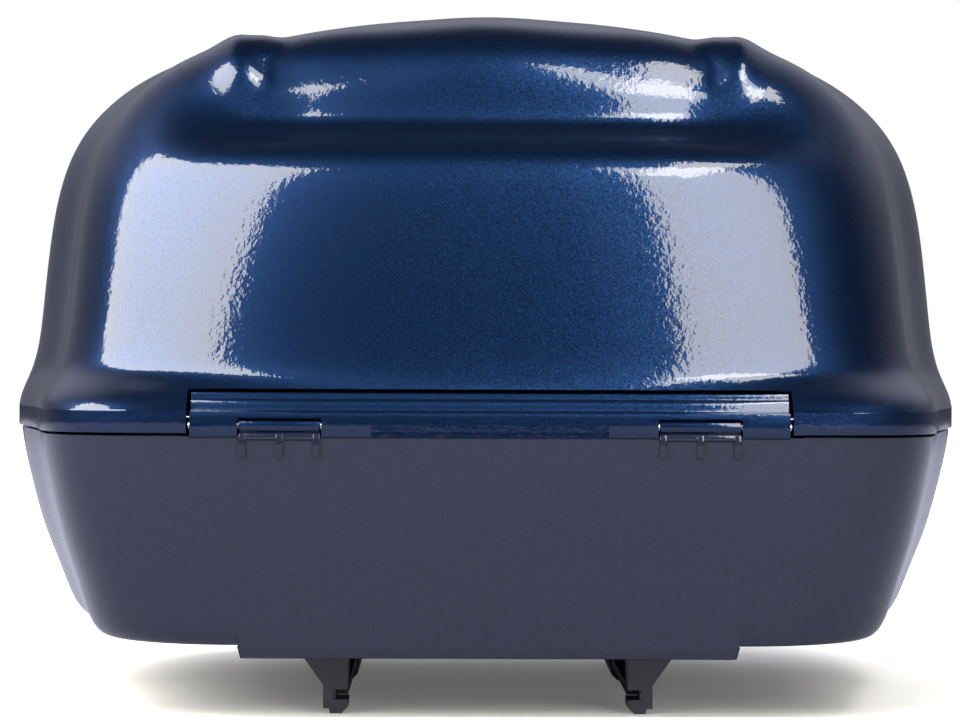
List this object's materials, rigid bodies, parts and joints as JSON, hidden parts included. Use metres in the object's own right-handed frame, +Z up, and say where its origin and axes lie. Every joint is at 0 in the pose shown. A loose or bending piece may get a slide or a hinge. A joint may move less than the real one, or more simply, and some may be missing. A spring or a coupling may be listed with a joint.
{
  "type": "motorcycle top case",
  "caption": "Rigid top case with a domed lid on a long hinge pin, a lever latch with lock, and hooked feet with a spring bolt for a carrier.",
  "frame": {"origin": "on the ground under the feet, midway across the case and midway along it", "axes": "+X across the case, +Y from the hinge side to the latch side, +Z up"},
  "size_m": [0.461, 0.4052, 0.3266],
  "materials": {
    "lid_paint": "metallic clear coat, high gloss",
    "base_paint": "gloss",
    "dark_plastic": "fine texture",
    "black_plastic": "fine texture",
    "liner_plastic": "grained",
    "mat_rubber": "ribbed",
    "seal_rubber": "satin",
    "pin_steel": "ground",
    "strip_steel": "rolled",
    "zinc_steel": "zinc plated",
    "lock_chrome": "polished",
    "button_plastic": "satin"
  },
  "bodies": {
    "base": {"base_shell": "base_paint", "plinth": "base_paint", "foot_front_left": "dark_plastic", "foot_front_right": "dark_plastic", "foot_rear_left": "dark_plastic", "foot_rear_right": "dark_plastic", "runner_left": "black_plastic", "runner_right": "black_plastic", "foot_screws": "zinc_steel", "floor_mat": "mat_rubber", "rim_seal": "seal_rubber", "knuckle_left": "base_paint", "knuckle_right": "base_paint", "knuckle_screws": "zinc_steel", "latch_housing": "dark_plastic", "housing_screws": "zinc_steel", "lever_pin": "pin_steel", "claw_pin": "pin_steel", "bolt_guide": "black_plastic", "bolt_spring": "pin_steel", "guide_screws": "zinc_steel"},
    "lid": {"lid_shell": "lid_paint", "lid_liner": "liner_plastic", "hinge_beam": "lid_paint", "hinge_pin": "pin_steel", "beam_screws": "zinc_steel", "striker": "strip_steel", "striker_screws": "zinc_steel"},
    "latch_lever": {"latch_lever": "dark_plastic"},
    "latch_claw": {"latch_claw": "zinc_steel"},
    "lock_cylinder": {"lock_cylinder": "lock_chrome"},
    "carrier_bolt": {"carrier_bolt": "pin_steel"},
    "release_button": {"release_button": "button_plastic"}
  },
  "joints": [
    {"name": "lid_hinge", "type": "hinge", "parent": "base", "child": "lid", "pos_m": [0, -0.198, 0.1305], "axis": [1, 0, 0], "range_deg": [0, 80]},
    {"name": "latch_lever_pivot", "type": "hinge", "parent": "base", "child": "latch_lever", "pos_m": [0, 0.199, 0.1205], "axis": [1, 0, 0], "range_deg": [-9, 22]},
    {"name": "latch_claw_pivot", "type": "hinge", "parent": "base", "child": "latch_claw", "pos_m": [0, 0.1915, 0.084], "axis": [1, 0, 0], "range_deg": [-9, 4]},
    {"name": "lock_turn", "type": "hinge", "parent": "latch_lever", "child": "lock_cylinder", "pos_m": [0, 0.199, 0.102], "axis": [0, 1, 0], "range_deg": [0, 90]},
    {"name": "carrier_bolt_lift", "type": "slide", "parent": "base", "child": "carrier_bolt", "axis": [0, 0, 1], "range_m": [0, 0.005], "stiffness_N_per_m": 600, "springref_m": -0.003, "deforming": ["bolt_spring"]},
    {"name": "release_button_push", "type": "slide", "parent": "base", "child": "release_button", "axis": [0, -1, 0], "range_m": [0, 0.005]}
  ],
  "couplings": [
    {"joint": "latch_claw_pivot", "follows": "latch_lever_pivot", "ratio": -0.4},
    {"joint": "release_button_push", "follows": "carrier_bolt_lift", "ratio": 1}
  ]
}
